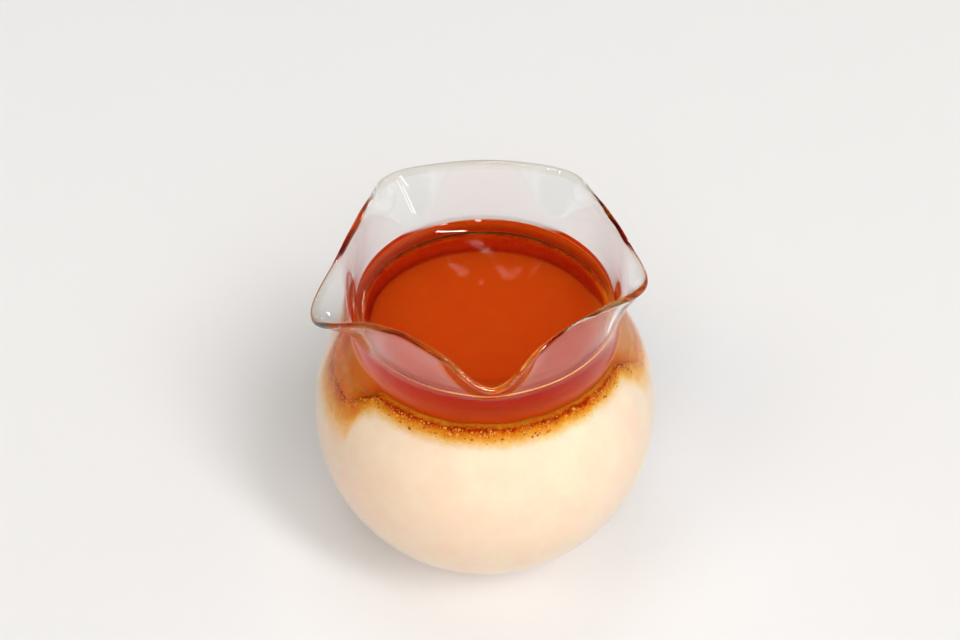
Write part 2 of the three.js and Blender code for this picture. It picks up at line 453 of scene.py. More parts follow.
class Mixture:
    """The nodes of one finish, or of the room's light."""

    MIX_FACTOR, MIX_FIRST, MIX_SECOND, MIX_RESULT = 0, 6, 7, 2  # the Mix node's sockets for colours

    def __init__(self, owner: bpy.types.Material | bpy.types.World, output: str = "Material") -> None:
        """Empties the owner's node tree and gives it its output.

        Args:
            owner: the material or world whose nodes these are.
            output: the output's kind, Material or World.
        """
        owner.use_nodes = True
        self.owner = owner
        self.tree = owner.node_tree
        self.tree.nodes.clear()
        self.output = self.tree.nodes.new(f"ShaderNodeOutput{output}")

    @staticmethod
    def named(name: str) -> "Mixture":
        """The mixture of a new material."""
        return Mixture(bpy.data.materials.new(name))

    def node(self, kind: str, settings: dict[str, Any], sockets: dict[Any, Any]) -> bpy.types.Node:
        """Adds a node.

        Args:
            kind: the node's type name.
            settings: the node's own properties, set first. A ramp takes its "stops" here.
            sockets: a value, signal or output socket for each input, by its name or number.

        Returns:
            The new node.
        """
        node = self.tree.nodes.new(kind)
        for key, value in settings.items():
            if key == "stops":
                self._set_stops(node.color_ramp, value)
            else:
                setattr(node, key, value)
        for key, value in sockets.items():
            if isinstance(value, Signal):
                value = value.socket
            if isinstance(value, bpy.types.NodeSocket):
                self.tree.links.new(value, node.inputs[key])
            else:
                node.inputs[key].default_value = value
        return node

    def _set_stops(self, ramp: bpy.types.ColorRamp, stops: Sequence[tuple[float, Colour]]) -> None:
        """Gives a ramp its stops.

        Args:
            ramp: the ramp, with its first two stops.
            stops: place and colour of each stop, from the lowest to the highest.
        """
        while len(ramp.elements) < len(stops):
            ramp.elements.new(1.0)
        for element, (place, colour) in zip(ramp.elements, stops, strict=True):
            element.position = place
            element.color = (*colour, 1.0)

    def signal(self, kind: str, settings: dict[str, Any], sockets: dict[Any, Any], output: Any = 0) -> Signal:
        """Adds a node, as node does, and gives the output with that name or number as a signal."""
        return Signal(self, self.node(kind, settings, sockets).outputs[output])

    def noise(self, scale: float, detail: float = 2.0, roughness: float = 0.5) -> Signal:
        """Cloudy noise on the piece's own coordinates.

        Args:
            scale: how many cells there are in a metre.
            detail: how many finer layers are added.
            roughness: how strong those are.

        Returns:
            A signal round 0.5.
        """
        place = self.node("ShaderNodeTexCoord", {}, {}).outputs["Object"]
        sockets = {"Vector": place, "Scale": scale, "Detail": detail, "Roughness": roughness}
        return self.signal("ShaderNodeTexNoise", {}, sockets)

    def attribute(self, name: str) -> Signal:
        """A number stored on the piece's mesh."""
        return self.signal("ShaderNodeAttribute", {"attribute_name": name}, {}, "Fac")

    def blend(self, share: Signal, first: Any, second: Any, mode: str = "MIX") -> bpy.types.NodeSocket:
        """Mixes two colours.

        Args:
            share: how much of the second colour there is.
            first: a colour or a colour socket.
            second: a colour or a colour socket.
            mode: the Mix node's blend type.

        Returns:
            The mixed colour's socket.
        """
        sockets = {self.MIX_FACTOR: share}
        for key, value in ((self.MIX_FIRST, first), (self.MIX_SECOND, second)):
            sockets[key] = value if isinstance(value, bpy.types.NodeSocket) else (*value, 1.0)
        settings = {"data_type": "RGBA", "blend_type": mode}
        return self.node("ShaderNodeMix", settings, sockets).outputs[self.MIX_RESULT]

    def bump(self, height: Signal, distance: float) -> bpy.types.NodeSocket:
        """A normal tilted by a height signal, where distance is the height in metres that 1 stands for."""
        sockets = {"Height": height, "Distance": distance, "Strength": 1.0}
        return self.node("ShaderNodeBump", {}, sockets).outputs[0]

    def principled(self, sockets: dict[str, Any]) -> bpy.types.NodeSocket:
        """The output of a Principled shader with those sockets set."""
        return self.node("ShaderNodeBsdfPrincipled", {}, sockets).outputs[0]

    def straight_through(self) -> bpy.types.NodeSocket:
        """The output of a shader that light goes straight through."""
        return self.node("ShaderNodeBsdfTransparent", {}, {}).outputs[0]

    def mixed(self, share: Signal, first: Any, second: Any) -> bpy.types.NodeSocket:
        """A Mix Shader of two shader outputs, all second where share is 1."""
        return self.node("ShaderNodeMixShader", {}, {0: share, 1: first, 2: second}).outputs[0]

    def lamp_open(self, shader: bpy.types.NodeSocket, loss: Any = 0.0) -> bpy.types.NodeSocket:
        """Lets light that only has to get through, such as a lamp's, pass a shader unbent.

        Args:
            shader: the output of the shader that all other light meets.
            loss: the part of the lamp's light that the shader keeps back all the same.

        Returns:
            The output of the shader that does both.
        """
        path = self.node("ShaderNodeLightPath", {}, {})
        shadow, diffuse = (Signal(self, path.outputs[f"Is {kind} Ray"]) for kind in ("Shadow", "Diffuse"))
        return self.mixed(shadow.larger(diffuse) * (1.0 - loss), shader, self.straight_through())

    def finished(self, surface: Any, volume: Any = None) -> Any:
        """Links what was mixed to the output.

        Args:
            surface: the output of the surface's or the world's shader.
            volume: the output of the volume's shader, if there is one.

        Returns:
            The finished material or world.
        """
        self.tree.links.new(surface, self.output.inputs["Surface"])
        if volume is not None:
            self.tree.links.new(volume, self.output.inputs["Volume"])
        return self.owner


@dataclass(frozen=True)
class ClearGlass:
    """Hand-blown clear glass, faintly wavy and with a trace of grey-green."""

    name: str
    ior: float
    tint: Colour = (0.985, 0.99, 0.985)
    wave_scale: float = 90.0  # cells in a metre
    wave_height: float = 0.02 * MM
    edge_loss: float = 0.55  # the part of a lamp's light that is kept back where the glass is met edge-on
    edge_blend: float = 0.35  # how far that spreads towards glass met head-on
    shine: float = 1.0  # how much of plain glass's head-on mirror reflection there is
    skin: float = 0.0  # weight of a thin clear skin, which keeps the highlights where ior is low

    def make(self) -> bpy.types.Material:
        """Builds the material.

        Returns:
            The glass.
        """
        mix = Mixture.named(self.name)
        glass = mix.principled(
            {
                "Base Color": (*self.tint, 1.0),
                "Roughness": 0.0,
                "IOR": self.ior,
                "Specular Tint": (self.shine, self.shine, self.shine, 1.0),
                "Transmission Weight": 1.0,
                "Coat Weight": self.skin,
                "Coat Roughness": 0.0,
                "Normal": mix.bump(mix.noise(self.wave_scale, 1.0), self.wave_height),
            }
        )
        facing = mix.signal("ShaderNodeLayerWeight", {}, {"Blend": self.edge_blend}, "Facing")
        return mix.finished(mix.lamp_open(glass, facing * self.edge_loss))


@dataclass(frozen=True)
class Syrup:
    """Clear caramel syrup. Its free surface bends light, and its side, in the glass, doesn't."""

    name: str = "syrup_clear"
    ior: float = 1.45
    absorbed: Colour = (37.0, 190.0, 400.0)  # in a metre, for red, green and blue
    deepest: float = 0.75  # how far below 1 the volume's colour falls for what is absorbed most
    free_surface: str = "free_surface"

    def make(self) -> bpy.types.Material:
        """Builds the material.

        Returns:
            The syrup.
        """
        mix = Mixture.named(self.name)
        clear = {"Base Color": (1.0, 1.0, 1.0, 1.0), "Roughness": 0.0, "Transmission Weight": 1.0}
        top = mix.principled({**clear, "IOR": self.ior})
        body = mix.mixed(mix.attribute(self.free_surface), mix.straight_through(), top)
        density = max(self.absorbed) / self.deepest
        colour = tuple(1.0 - share / density for share in self.absorbed)
        sockets = {"Color": (*colour, 1.0), "Density": density}
        volume = mix.node("ShaderNodeVolumeAbsorption", {}, sockets).outputs[0]
        return mix.finished(mix.lamp_open(body), volume)


@dataclass(frozen=True)
class SetCustard:
    """Smooth baked custard: pale cream, softly translucent, stained gold where syrup has crept along it, and
    darkened by painted shade in its hollow ring.

    Noise scales are in cells to the metre.
    """

    name: str = "custard_cream"
    cream: Colour = (0.945, 0.71, 0.535)
    paler: Colour = (0.96, 0.75, 0.58)
    cloud_scale: float = 180.0
    cloud_band: Point = (0.3, 0.75)  # the noise between which cream turns into paler
    stains: tuple[tuple[float, Colour], ...] = (
        (0.0, (0.30, 0.02, 0.001)),
        (0.05, (0.40, 0.045, 0.002)),
        (0.12, (0.60, 0.13, 0.006)),
        (0.26, (0.74, 0.25, 0.014)),
        (0.42, (0.82, 0.37, 0.050)),
        (0.60, (0.90, 0.56, 0.220)),
        (1.0, (0.955, 0.69, 0.450)),
    )
    stain_reach: float = 4.6  # millimetres from the edge at which the last stain ends
    stain_fade: float = 0.6  # the part of that reach at which plain cream begins to show
    frayed_scale: float = 1500.0
    frayed_by: float = 1.9  # millimetres from the noise's least to its most by which the stains fray
    drift_scale: float = 330.0  # of the broader noise, which moves them by up to a millimetre
    pore_scale: float = 1400.0
    pore_height: float = 0.03 * MM
    shade: Colour = (0.85, 0.95, 0.95)  # painted shade: what the colour keeps in the hollow ring, which gets less light under the syrup
    scatter: Colour = (16.0 * MM, 6.0 * MM, 2.5 * MM)
    edge_attribute: str = "edge_distance"
    # names the mark of where the hollow ring takes its painted shade
    moat_shade_attribute: str = "painted_moat_shade"

    def make(self) -> bpy.types.Material:
        """Builds the material.

        Returns:
            The custard.
        """
        mix = Mixture.named(self.name)
        cream = mix.blend(mix.noise(self.cloud_scale, 3.0).eased(*self.cloud_band), self.cream, self.paler)
        frayed = (mix.noise(self.frayed_scale, 3.0, 0.7) - 0.5) * self.frayed_by
        away = mix.attribute(self.edge_attribute) + (frayed + (mix.noise(self.drift_scale, 1.0) - 0.5))
        ramp = mix.node("ShaderNodeValToRGB", {"stops": self.stains}, {0: away / self.stain_reach})
        plain = away.eased(self.stain_reach * self.stain_fade, self.stain_reach)
        edged = mix.blend(plain, ramp.outputs[0], cream)
        surface = mix.principled(
            {
                # painted shade: the hollow ring's colour is multiplied down, as less light reaches it
                "Base Color": mix.blend(mix.attribute(self.moat_shade_attribute), edged, self.shade, "MULTIPLY"),
                "Roughness": 0.45,
                "Specular IOR Level": 0.0,
                "Subsurface Weight": 1.0,
                "Subsurface Radius": self.scatter,
                "Subsurface Scale": 1.0,
                "Normal": mix.bump(mix.noise(self.pore_scale), self.pore_height),
            }
        )
        return mix.finished(surface)


@dataclass(frozen=True)
class BurntSugar:
    """Browned sugar in drops and bubbles, from dark brown to the gold of those that catch the light, a
    painted highlight.
    """

    name: str
    brown: Colour = (0.40, 0.10, 0.009)
    gold: Colour = (0.78, 0.33, 0.045)
    tone_attribute: str = "tone"
    tone_band: Point = (0.1, 0.9)  # the tones between which brown turns into the gold of painted highlight
    mottle_scale: float = 2500.0  # cells in a metre
    mottle: float = 0.5  # how much of the tone the noise moves

    def make(self) -> bpy.types.Material:
        """Builds the material.

        Returns:
            The sugar.
        """
        mix = Mixture.named(self.name)
        tone = mix.attribute(self.tone_attribute) + (mix.noise(self.mottle_scale) - 0.5) * self.mottle
        # gold is painted highlight, brown the sugar's own colour
        colour = mix.blend(tone.eased(*self.tone_band), self.brown, self.gold)
        surface = mix.principled({"Base Color": colour, "Roughness": 0.3, "Specular IOR Level": 0.1})
        return mix.finished(surface)


@dataclass(frozen=True)
class Table:
    """A pale matt table top with a trace of unevenness."""

    name: str = "table_pale"
    pale: Colour = (0.80, 0.79, 0.785)
    paler: Colour = (0.83, 0.82, 0.81)
    cloud_scale: float = 6.0  # cells in a metre

    def make(self) -> bpy.types.Material:
        """Builds the material.

        Returns:
            The table's finish.
        """
        mix = Mixture.named(self.name)
        colour = mix.blend(mix.noise(self.cloud_scale, 3.0), self.pale, self.paler)
        return mix.finished(mix.principled({"Base Color": colour, "Roughness": 0.7}))


# ---------------------------------------------------------------- the pieces


class GlassFace(Enum):
    """Which of the jar's finishes a face has, by what lies against it."""

    DRY = 0
    WETTED = 1
    COVERING = 2
    LIP = 3


@dataclass
class Jar:
    """The blown jar."""

    form: BlownForm
    contact: float  # height to which its inside is wetted
    plain_lip: float = 68.0 * MM  # lip height before the lip is opened
    lip_strip: float = 0.8 * MM  # height below the lip's edge that is finished as the lip is
    glass_ior: float = 1.5
    turn_steps: int = 320
    body_steps: int = 52
    shoulder_steps: int = 8
    wetted_neck_steps: int = 6
    neck_steps: int = 30
    edge_steps: int = 12

    def _wall(self, offset: float, first: float) -> list[Point]:
        """One face of the wall, up to the unopened lip.

        Args:
            offset: distance outwards from the middle of the glass.
            first: latitude of the body at which the face starts.

        Returns:
            Radius and height of each point.
        """
        form = self.form
        radius = form.neck_mid + offset
        foot_of_neck = form.centre + form.fillet_rise
        low = [(radius, z) for z in spread(foot_of_neck, self.contact, self.wetted_neck_steps)]
        high = [(radius, z) for z in spread(self.contact, self.plain_lip, self.neck_steps)]
        body = form.body_arc(offset, first, form.shoulder_latitude, self.body_steps)
        return [*body, *form.shoulder_arc(offset, self.shoulder_steps), *low[1:], *high[1:]]

    def _profile(self) -> list[Point]:
        """The glass in section, with a straight neck.

        Returns:
            Radius and height of each point, up the outside, over the edge and down the inside.
        """
        form = self.form
        half = form.wall / 2
        outside = self._wall(half, form.latitude(half, 0.0))
        inside = self._wall(-half, form.latitude(-half, form.floor_thickness))
        edge = [
            (form.neck_mid + half * math.cos(angle), self.plain_lip + half * math.sin(angle))
            for angle in spread(0.0, math.pi, self.edge_steps)[1:-1]
        ]
        return [(0.0, 0.0), *outside, *edge, *reversed(inside), (0.0, form.floor_thickness)]

    def _opened(self, azimuth: float, radius: float, height: float) -> Point:
        """Where a point of the straight neck goes when the lip is drawn out.

        Args:
            azimuth: its direction from the axis, in radians.
            radius: its radius in the straight neck.
            height: its height in the straight neck.

        Returns:
            Its radius and height in the opened lip.
        """
        form = self.form
        if height <= form.flare_start:
            return radius, height
        reach, top = form.lip(azimuth)
        rise = top - form.flare_start
        thinned = smoothstep(height, self.plain_lip - form.lip_thinning, self.plain_lip)
        thin = lerp(1.0, form.lip_share, thinned)
        along = max(height - self.plain_lip, 0.0) * thin
        if height > self.contact:
            climbed = min((height - self.contact) / (self.plain_lip - self.contact), 1.0)
            height = lerp(self.contact, top, climbed)
        share = (height - form.flare_start) / rise
        widened = reach - form.neck_mid
        slope = form.flare_curve * widened * share ** (form.flare_curve - 1.0) / rise
        length = math.hypot(1.0, slope)
        offset = (radius - form.neck_mid) * thin
        return (
            form.neck_mid + widened * share**form.flare_curve + (offset + along * slope) / length,
            height + (along - offset * slope) / length,
        )

    def _face_kind(self, middle: Vector) -> GlassFace:
        """Tells the finish of a face of the jar before its lip is opened.

        Args:
            middle: the middle of the face.

        Returns:
            Lip on the lip's edge and just below it, inside and out, dry on the rest of the neck above the
            syrup, wetted where custard or syrup lies against the face, and covering on all of the outside
            below that, where they lie behind it.
        """
        form = self.form
        if middle.z > self.contact:
            return GlassFace.LIP if middle.z > self.plain_lip - self.lip_strip else GlassFace.DRY
        radius = math.hypot(middle.x, middle.y)
        from_centre = math.hypot(radius, middle.z - form.centre)
        in_neck = middle.z > form.centre + form.body_mid * math.sin(form.shoulder_latitude)
        inside = radius < form.neck_mid + form.wall / 4 if in_neck else from_centre < form.body_mid
        return GlassFace.WETTED if inside and middle.z > form.floor_thickness / 2 else GlassFace.COVERING

    def _finish(self, kind: GlassFace) -> ClearGlass:
        """The finish of one kind of face.

        Dry glass bends light less than real glass, so that the syrup's red doesn't smear up the neck, and
        its skin gives it the highlights of real glass.

        Args:
            kind: the kind of face.

        Returns:
            The finish.
        """
        return {
            GlassFace.DRY: ClearGlass("glass_in_air", 1.12, skin=1.0),
            GlassFace.WETTED: ClearGlass("glass_on_syrup", self.glass_ior / Syrup.ior, wave_height=0.0),
            GlassFace.COVERING: ClearGlass("glass_over_food", self.glass_ior, shine=0.0),
            GlassFace.LIP: ClearGlass("glass_lip", 1.14, (0.92, 0.91, 0.85), skin=1.0),
        }[kind]

    def build(self) -> bpy.types.Object:
        """Turns the jar, opens its lip and dresses it.

        Returns:
            The finished jar.
        """
        jar = Bench.turned("glass_jar", self._profile(), self.turn_steps)
        for face in jar.data.polygons:
            face.material_index = self._face_kind(face.center).value
        Bench.push(jar, self._opened)
        Bench.dress(jar, *(self._finish(kind).make() for kind in GlassFace))
        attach(jar, "root")
        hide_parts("jar")
        return jar


@dataclass
class Filling:
    """What fills the jar. It is turned with a flat face at the level oval's height, shaped afterwards."""

    form: BlownForm
    top: CustardTop
    reach_in: float = 0.0  # how far its side reaches into the glass
    turn_steps: int = 288

    @property
    def _offset(self) -> float:
        """The side's offset from the middle of the glass."""
        return self.reach_in - self.form.wall / 2


@dataclass
class Custard(Filling):
    """The set custard that fills the round body."""

    reach_in: float = 0.12 * MM
    bead: float = 1.05 * MM  # how much further its browned edge reaches in
    bead_depth: float = 3.5 * MM  # how far below the edge that ends, fading from a third of it
    side_steps: int = 70
    top_steps: int = 64
    near_part: int = 18  # the nearest edge is looked for over this part of a turn to either side
    side_depth: float = 0.05 * MM  # what lies deeper within the side than this is the upper face
    seep_spread: float = 0.4  # how much closer to the edge a point of a seep counts, as its stain is wider
    seep_sinking: Point = (0.5, 3.0)  # millimetres that the edge has sunk where that begins and is whole
    top_stain: float = 0.5  # millimetres from the edge that the upper face counts as along its border
    top_border: float = 0.8  # width of that border in millimetres
    top_spread: float = 0.9  # how fast the distance counts past it
    moat_shade_start: float = 0.05  # how far past the oval, as a part of its radius, the ring has its whole painted shade
    moat_shade_end: Point = (1.0, 3.0)  # millimetres from the edge at which the painted shade fades out and is whole

    def _profile(self) -> list[Point]:
        """The custard in section with a flat top.

        Returns:
            Radius and height of each point, from the floor up the side and in to the axis.
        """
        form = self.form
        floor = form.floor_thickness - self.reach_in
        low = form.latitude(self._offset, floor)
        high = form.latitude(self._offset, self.top.level)
        side = form.body_arc(self._offset, low, high, self.side_steps)
        rim = side[-1][0]
        top = [(rim * share, self.top.level) for share in spread(1.0, 0.0, self.top_steps)]
        return [(0.0, floor), *side, *top[1:]]

    def _placed(self, azimuth: float, radius: float, height: float) -> Point:
        """Where a point of the flat-topped custard goes.

        Args:
            azimuth: its direction from the axis, in radians.
            radius: its radius before.
            height: its height before.

        Returns:
            Its radius and height.
        """
        form = self.form
        offset = self._offset
        level = self.top.level
        edge = self.top.edge(azimuth)
        if height > level - HAIR:
            rim = form.body_radius_at(offset, level)
            if radius > rim * (1.0 - 0.5 / self.top_steps):
                return form.body_radius_at(offset + self.bead, edge), edge
            return self.top.at(azimuth, min(radius / rim, 1.0), form.body_radius_at(offset, edge))
        floor = form.floor_thickness - self.reach_in
        if radius < form.foot_radius / 4 or height <= floor + TINY:
            return radius, height
        first = form.latitude(offset, floor)
        share = (form.latitude(offset, height) - first) / (form.latitude(offset, level) - first)
        latitude = lerp(first, form.latitude(offset, edge), share)
        distance = form.body_mid + offset
        below = edge - form.centre - distance * math.sin(latitude)
        distance += self.bead * (1.0 - smoothstep(below, self.bead_depth / 3, self.bead_depth))
        return form.body_point(distance, latitude)

    def _edge_points(self) -> list[Vector]:
        """The points of the edge at the glass.

        Returns:
            One point for each step of the turn.
        """
        points = []
        for turn in spread(0.0, TURN, self.turn_steps)[:-1]:
            height = self.top.edge(turn)
            points.append(polar(turn, self.form.body_radius_at(self._offset + self.bead, height), height))
        return points

    def _mark_stains(self, custard: bpy.types.Object, finish: SetCustard) -> None:
        """Stores how far each point lies from the edge at the glass, in millimetres, and how much painted
        shade it takes in the hollow ring.

        Args:
            custard: the shaped custard.
            finish: names the two attributes.
        """
        centre = self.form.centre
        edge = self._edge_points()
        near = self.turn_steps // self.near_part
        face_reach = self.form.body_mid + self._offset - self.side_depth
        distances, moat_shades = [], []
        for vertex in custard.data.vertices:
            x, y, z = vertex.co
            azimuth = math.atan2(y, x)
            radius = math.hypot(x, y)
            index = round(azimuth / TURN * self.turn_steps)
            around = range(index - near, index + near + 1)
            away = min((vertex.co - edge[k % self.turn_steps]).length for k in around) / MM
            if z > centre and math.hypot(radius, z - centre) < face_reach:
                across = radius / self.top.plateau(azimuth) - 1.0
                distances.append(self.top_stain + self.top_spread * max(away - self.top_border, 0.0))
                # painted shade in the hollow ring past the oval, fading out near the edge
                moat_shades.append(smoothstep(across, 0.0, self.moat_shade_start) * smoothstep(away, *self.moat_shade_end))
            else:
                sunk = (self.top.level + self.top.cling - edge[index % self.turn_steps].z) / MM
                seeped = self.top.nearest_seep(azimuth).paleness + away * self.seep_spread
                distances.append(lerp(away, seeped, smoothstep(sunk, *self.seep_sinking)))
                moat_shades.append(0.0)
        Bench.mark(custard, finish.edge_attribute, distances)
        Bench.mark(custard, finish.moat_shade_attribute, moat_shades)

    def build(self) -> bpy.types.Object:
        """Turns the custard, shapes its top and dresses it.

        Returns:
            The finished custard.
        """
        finish = SetCustard()
        custard = Bench.turned("custard_set", self._profile(), self.turn_steps)
        Bench.push(custard, self._placed)
        self._mark_stains(custard, finish)
        Bench.dress(custard, finish.make())
        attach(custard, "root")
        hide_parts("custard")
        return custard


@dataclass
class CaramelSyrup(Filling):
    """The clear syrup between the custard and the neck."""

    reach_in: float = 0.10 * MM
    level: float = 55.4 * MM
    climb: float = 2.2 * MM  # how far it climbs at the glass
    climb_reach: float = 2.4 * MM  # distance from the glass over which that falls to about a third
    overlap: float = 0.25 * MM  # how far its underside lies in the custard
    top_steps: int = 60
    under_steps: int = 64
    side_steps: int = 14
    shoulder_steps: int = 8
    neck_steps: int = 6
    surface_band: float = 0.15 * MM  # how near the surface's curve a face of it lies
    surface_tilt: float = 0.2  # the least that its normal points upwards

    @property
    def contact(self) -> float:
        """Height of the line where the surface meets the glass."""
        return self.level + self.climb

    def surface(self, radius: float) -> float:
        """Height of the free surface at a radius."""
        return self.level + self.climb * math.exp((radius - self.form.neck_bore) / self.climb_reach)

    def _profile(self) -> list[Point]:
        """The syrup in section with a flat underside.

        Returns:
            Radius and height of each point, out along the underside, up the side and in over the surface.
        """
        form = self.form
        low = form.latitude(self._offset, self.top.level)
        side = form.body_arc(self._offset, low, form.shoulder_latitude, self.side_steps)
        shoulder = form.shoulder_arc(self._offset, self.shoulder_steps)
        neck = form.neck_mid + self._offset
        rise = [(neck, z) for z in spread(shoulder[-1][1], self.surface(neck), self.neck_steps)]
        under = [(side[0][0] * share, side[0][1]) for share in spread(0.0, 1.0, self.under_steps)]
        shares = [math.sin(math.pi / 2 * share) for share in spread(1.0, 0.0, self.top_steps)]
        surface = [(neck * share, self.surface(neck * share)) for share in shares]
        return [*under, *side[1:], *shoulder, *rise[1:], *surface[1:]]

    def _placed(self, azimuth: float, radius: float, height: float) -> Point:
        """Where a point of the flat-bottomed syrup goes.

        Args:
            azimuth: its direction from the axis, in radians.
            radius: its radius before.
            height: its height before.

        Returns:
            Its radius and height.
        """
        form = self.form
        offset = self._offset
        level = self.top.level
        edge = self.top.edge(azimuth) - self.overlap
        if height < level + TINY:
            share = min(radius / form.body_radius_at(offset, level), 1.0)
            radius, height = self.top.at(azimuth, share, form.body_radius_at(offset, edge))
            return radius, height - self.overlap
        distance = form.body_mid + offset
        if math.hypot(radius, height - form.centre) < distance - HAIR:
            return radius, height
        latitude = form.latitude(offset, height)
        if latitude > form.shoulder_latitude:
            return radius, height
        first = form.latitude(offset, level)
        share = (latitude - first) / (form.shoulder_latitude - first)
        return form.body_point(distance, lerp(form.latitude(offset, edge), form.shoulder_latitude, share))

    def _mark_surface(self, syrup: bpy.types.Object, name: str) -> None:
        """Stores 1 on the faces of the free surface and 0 on the others.

        Args:
            syrup: the shaped syrup.
            name: the attribute's name.
        """
        neck = self.form.neck_mid + self._offset
        marks = []
        for face in syrup.data.polygons:
            radius = math.hypot(face.center.x, face.center.y)
            near = abs(face.center.z - self.surface(radius)) < self.surface_band
            marks.append(float(near and radius < neck - TINY and face.normal.z > self.surface_tilt))
        Bench.mark(syrup, name, marks, "FACE")

    def build(self) -> bpy.types.Object:
        """Turns the syrup, fits its underside to the custard and dresses it.

        Returns:
            The finished syrup.
        """
        finish = Syrup()
        syrup = Bench.turned("caramel_syrup", self._profile(), self.turn_steps)
        Bench.push(syrup, self._placed)
        self._mark_surface(syrup, finish.free_surface)
        Bench.dress(syrup, finish.make())
        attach(syrup, "root")
        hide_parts("caramel")
        return syrup


@dataclass
class Froth:
    """Small browned bubbles on the custard's browned edge, in the glass."""

    form: BlownForm
    top: CustardTop
    count: int = 1800
    highest: float = 0.1 * MM  # above the edge
    lowest: float = 2.1 * MM  # below the edge
    densest: float = 0.1 * MM  # below the edge
    patches: Ripple = Ripple(9.0, 30.0, 0.5)
    patch_band: Point = (-0.7, 0.35)  # unevenness below which no spot is taken and above which all are
    smallest: float = 0.06 * MM
    largest: float = 0.22 * MM
    rareness: float = 2.2  # power by which the larger ones are rarer
    stretch: Point = (0.8, 1.5)  # least and most width along the border, as a part of the height
    flatness: float = 0.3
    depth: float = 1.19 * MM  # how far the bubbles' middles lie in the glass
    # share of bubbles given the gold of a painted highlight
    painted_light_share: float = 0.4
    lightest_brown: float = 0.45  # tone of the lightest of those that aren't given the gold painted highlight
    seed: int = 11

    def _model_one(self) -> bpy.types.Object:
        """Models one bubble.

        Returns:
            A bubble with a radius of one unit, flattened along X.
        """
        Bench.clear()
        bpy.ops.mesh.primitive_uv_sphere_add(segments=8, ring_count=5, radius=1.0, location=ORIGIN)
        bubble = bpy.context.object
        bpy.ops.object.mode_set(mode="EDIT")
        bpy.ops.mesh.select_all(action="SELECT")
        bpy.ops.transform.resize(value=(self.flatness, 1.0, 1.0))
        bpy.ops.object.mode_set(mode="OBJECT")
        return bubble

    def _spot(self, pick: random.Random) -> Point:
        """Picks a place on the border, where bubbles crowd together in patches.

        Args:
            pick: the source of chance.

        Returns:
            Azimuth in radians and depth below the edge.
        """
        while True:
            azimuth = pick.uniform(-math.pi, math.pi)
            if self.patches.at(azimuth) > pick.uniform(*self.patch_band):
                return azimuth, pick.triangular(-self.highest, self.lowest, self.densest)

    def _copy(self, first: bpy.types.Object, pick: random.Random) -> bpy.types.Object:
        """Copies a bubble to a place on the border.

        Args:
            first: the bubble to copy.
            pick: the source of chance.

        Returns:
            The copy, with its place and size in its mesh.
        """
        offset = self.depth - self.form.wall / 2
        azimuth, below = self._spot(pick)
        latitude = self.form.latitude(offset, self.top.edge(azimuth) - below)
        size = lerp(self.smallest, self.largest, pick.random() ** self.rareness)
        place = bearing(math.degrees(azimuth), math.degrees(latitude)) * (self.form.body_mid + offset)
        moved = Matrix.Translation((*place.xy, place.z + self.form.centre))
        turned = Matrix.Rotation(azimuth, 4, "Z") @ Matrix.Rotation(-latitude, 4, "Y")
        sized = Matrix.Diagonal((size, size * pick.uniform(*self.stretch), size, 1.0))
        bubble = first.copy()
        bubble.data = first.data.copy()
        bpy.context.collection.objects.link(bubble)
        bubble.data.transform(moved @ turned @ sized)
        return bubble

    def build(self) -> bpy.types.Object:
        """Models one bubble, copies it along the border and joins the copies.

        Returns:
            The finished froth.
        """
        pick = random.Random(self.seed)
        finish = BurntSugar("sugar_froth")
        first = self._model_one()
        for _ in range(self.count):
            bubble = self._copy(first, pick)
            # painted highlight: a share of bubbles, picked at random, is gold as if catching the light
            tone = 1.0 if pick.random() < self.painted_light_share else pick.uniform(0.0, self.lightest_brown)
            Bench.mark(bubble, finish.tone_attribute, [tone] * len(bubble.data.vertices))
            bubble.select_set(True)
        first.select_set(False)
        bpy.context.view_layer.objects.active = bubble
        bpy.ops.object.join()
        froth = bpy.context.object
        froth.name = "border_froth"
        froth.data.name = froth.name
        bpy.data.objects.remove(first)
        Bench.dress(froth, finish.make())
        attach(froth, "root")
        return froth


@dataclass
class ContactLine:
    """The thin bright line of thick syrup where the free surface meets the glass, strongest at the front, and
    painted lighter gold towards the right, where the lamps light it.
    """

    form: BlownForm
    height: float
    half_width: float = 0.17 * MM
    depth: float = 0.16 * MM  # how far its middle lies in the glass
    front: float = math.radians(-80.0)
    front_band: Point = (-0.1, 0.5)  # cosines of the angle from the front where it thickens
    thinnest: float = 0.25  # of its width, away from the front
    wave: float = 0.5  # how uneven its width is at the front
    wave_cells: float = 12.0  # in a radian
    painted_light_band: Point = (-20.0 * MM, 5.0 * MM)  # X between which it turns from brown to gold, painted light on the lit right side
    turn_steps: int = 240
    round_steps: int = 8

    @property
    def middle(self) -> float:
        """Radius of the line's middle."""
        return self.form.neck_bore + self.depth

    def _thinned(self, azimuth: float, radius: float, height: float) -> Point:
        """Where a point of the even ring goes.

        Args:
            azimuth: its direction from the axis, in radians.
            radius: its radius in the even ring.
            height: its height in the even ring.

        Returns:
            Its radius and height.
        """
        facing = smoothstep(math.cos(azimuth - self.front), *self.front_band)
        uneven = 1.0 + self.wave * noise.noise(polar(azimuth) * self.wave_cells)
        width = lerp(self.thinnest, uneven, facing)
        return lerp(self.middle, radius, width), lerp(self.height, height, width)

    def build(self) -> bpy.types.Object:
        """Turns an even ring, thins it out towards the back and dresses it.

        Returns:
            The finished line.
        """
        # brown, and a gold that is painted light on the line's lit right side
        finish = BurntSugar("syrup_line", (0.55, 0.14, 0.02), (0.95, 0.42, 0.10))
        half = self.half_width
        profile = [
            (self.middle + half * math.cos(angle), self.height + half * math.sin(angle))
            for angle in spread(0.0, TURN, self.round_steps)
        ]
        line = Bench.turned("contact_line", profile, self.turn_steps)
        Bench.push(line, self._thinned)
        # painted light: the gold grows towards the right, the side the lamps light
        tones = [smoothstep(vertex.co.x, *self.painted_light_band) for vertex in line.data.vertices]
        Bench.mark(line, finish.tone_attribute, tones)
        Bench.dress(line, finish.make())
        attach(line, "root")
        return line


# ---------------------------------------------------------------- table, lamps and camera


